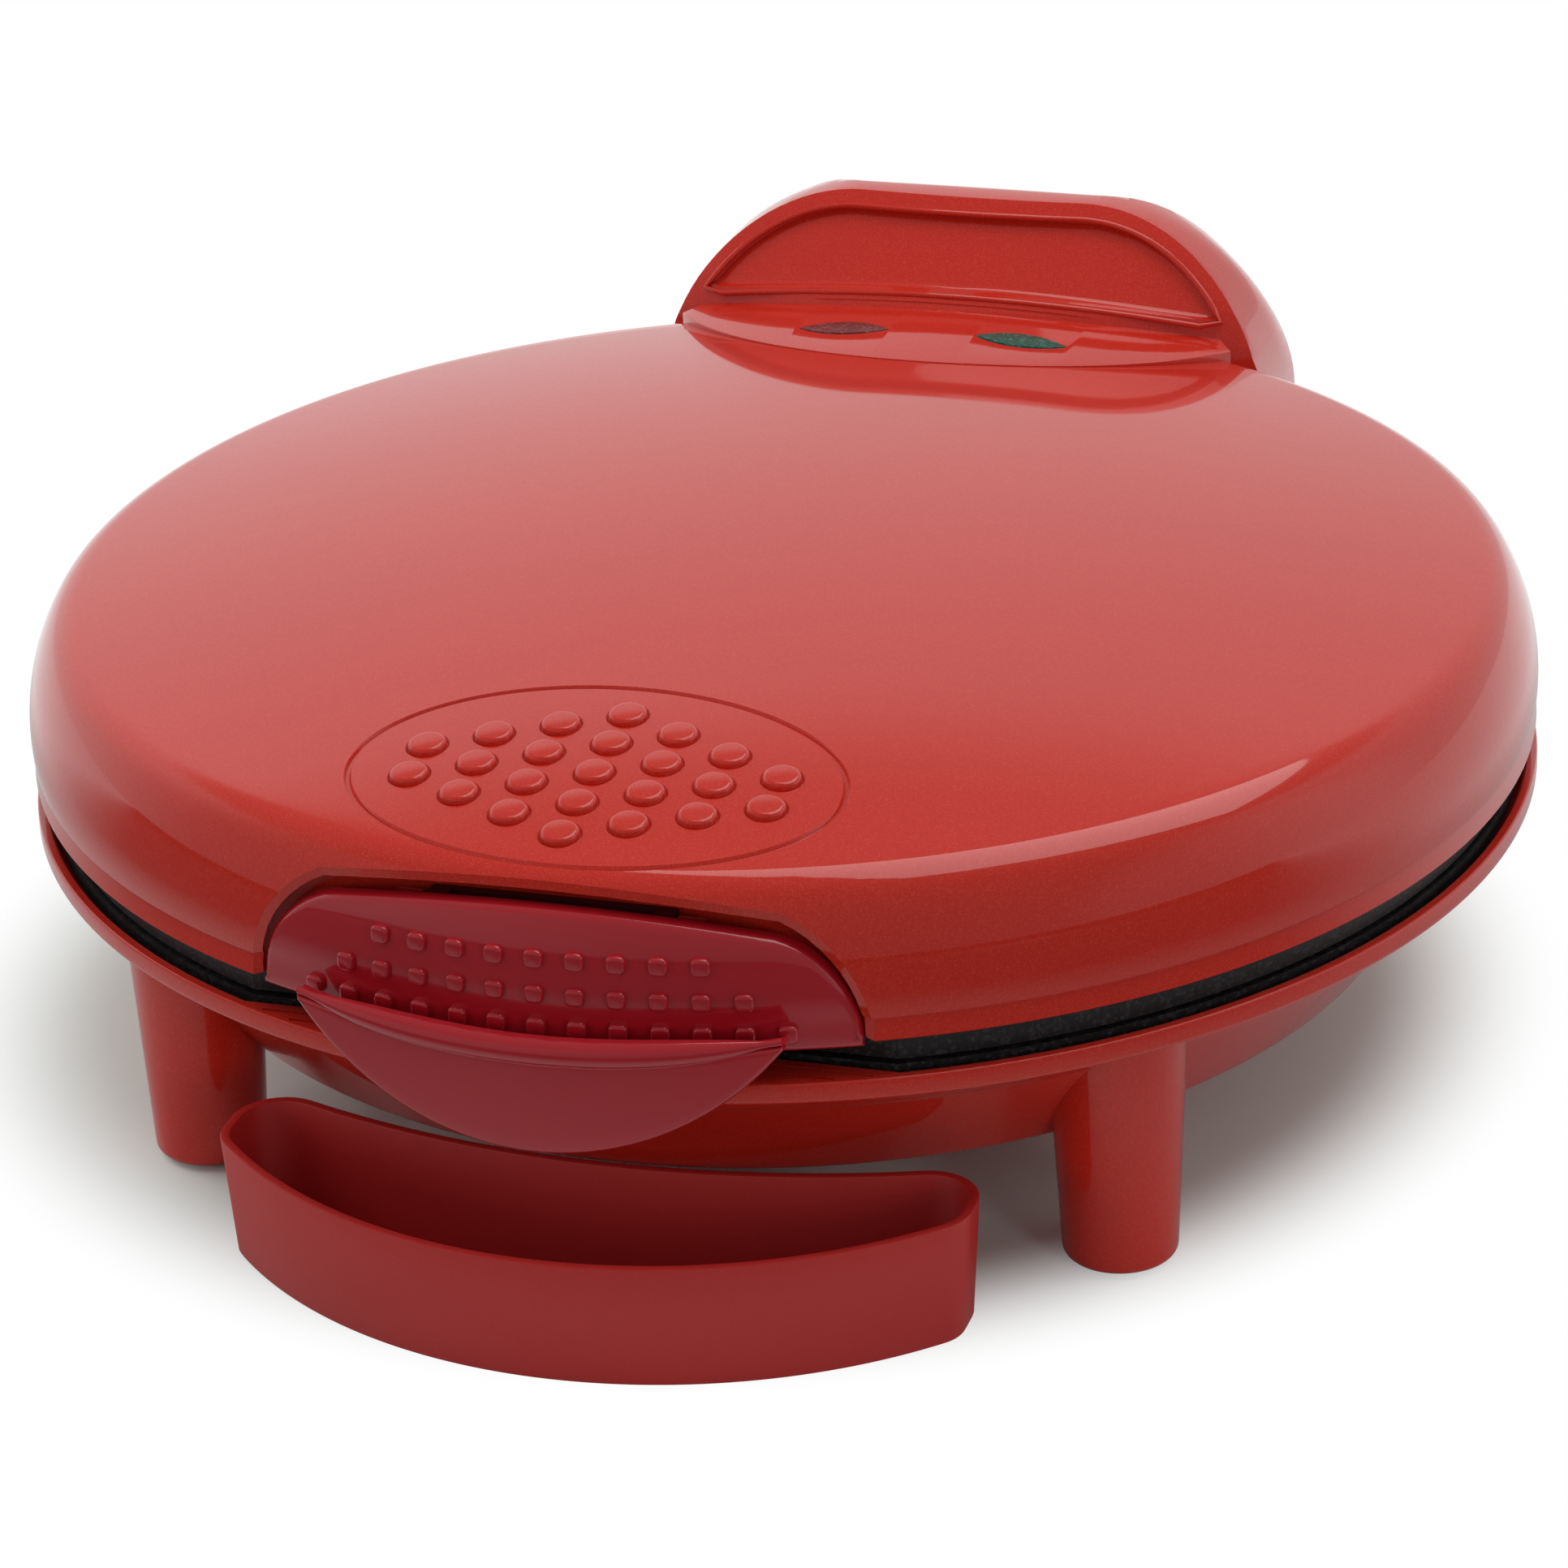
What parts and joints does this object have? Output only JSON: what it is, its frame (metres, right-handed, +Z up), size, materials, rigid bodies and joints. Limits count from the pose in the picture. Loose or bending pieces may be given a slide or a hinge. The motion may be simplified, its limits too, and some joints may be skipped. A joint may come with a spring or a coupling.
{
  "type": "quesadilla maker",
  "caption": "Round countertop quesadilla maker with a hinged domed lid, ridged cooking plates that mark wedges, a front latch, indicator lamps and a crescent drip tray.",
  "frame": {"origin": "on the floor, midway between the outermost faces in X and in Y; the axis of the round body passes through it", "axes": "+Z up, front with the latch and the drip tray towards -Y, hinge at +Y"},
  "size_m": [0.31, 0.336, 0.1245],
  "materials": {
    "body_red": "glossy red plastic with fine metallic flakes",
    "cover_red": "red plastic, slightly duller than the housing",
    "latch_crimson": "dark crimson glossy plastic",
    "tray_red": "satin dark red plastic",
    "plate_black": "cast, black non-stick coating",
    "heater_steel": "dull oxidised steel sheath",
    "reflector": "bright rolled sheet",
    "screw_steel": "zinc-plated",
    "pin_steel": "ground",
    "thermostat_steel": "plated pressing",
    "terminal_plastic": "ivory moulding",
    "holder_plastic": "black moulding",
    "gland_plastic": "black moulding",
    "foot_rubber": "black",
    "lens_red": "clear red",
    "lens_green": "clear green",
    "bulb_glass": "clear"
  },
  "bodies": {
    "base": {"base_housing": "body_red", "rubber_feet": "foot_rubber", "lower_plate": "plate_black", "lower_plate_rim": "plate_black", "lower_plate_ridges": "plate_black", "lower_element": "heater_steel", "lower_reflector": "reflector", "lower_plate_screws": "screw_steel", "thermostat": "thermostat_steel", "thermal_fuse": "thermostat_steel", "terminal_block": "terminal_plastic", "cord_gland": "gland_plastic", "hinge_pin": "pin_steel", "hinge_clips": "pin_steel"},
    "lid": {"lid_housing": "body_red", "rear_cover": "cover_red", "rear_cover_screws": "screw_steel", "upper_plate": "plate_black", "upper_plate_rim": "plate_black", "upper_plate_ridges": "plate_black", "upper_element": "heater_steel", "upper_reflector": "reflector", "upper_plate_screws": "screw_steel", "power_lens": "lens_red", "ready_lens": "lens_green", "lamp_holder": "holder_plastic", "lamp_holder_screws": "screw_steel", "power_bulb": "bulb_glass", "ready_bulb": "bulb_glass", "latch_bracket": "holder_plastic", "latch_bracket_screws": "screw_steel", "latch_pin": "pin_steel"},
    "latch": {"latch": "latch_crimson"},
    "tray": {"drip_tray": "tray_red"}
  },
  "joints": [
    {"name": "lid_hinge", "type": "hinge", "parent": "base", "child": "lid", "pos_m": [0, 0.1585, 0.0615], "axis": [-1, 0, 0], "range_deg": [0, 105]},
    {"name": "latch_pivot", "type": "hinge", "parent": "lid", "child": "latch", "pos_m": [0, -0.1435, 0.0855], "axis": [-1, 0, 0], "range_deg": [0, 22]},
    {"name": "tray_slide", "type": "slide", "parent": "base", "child": "tray", "axis": [0, -1, 0], "range_m": [0, 0.11]}
  ]
}
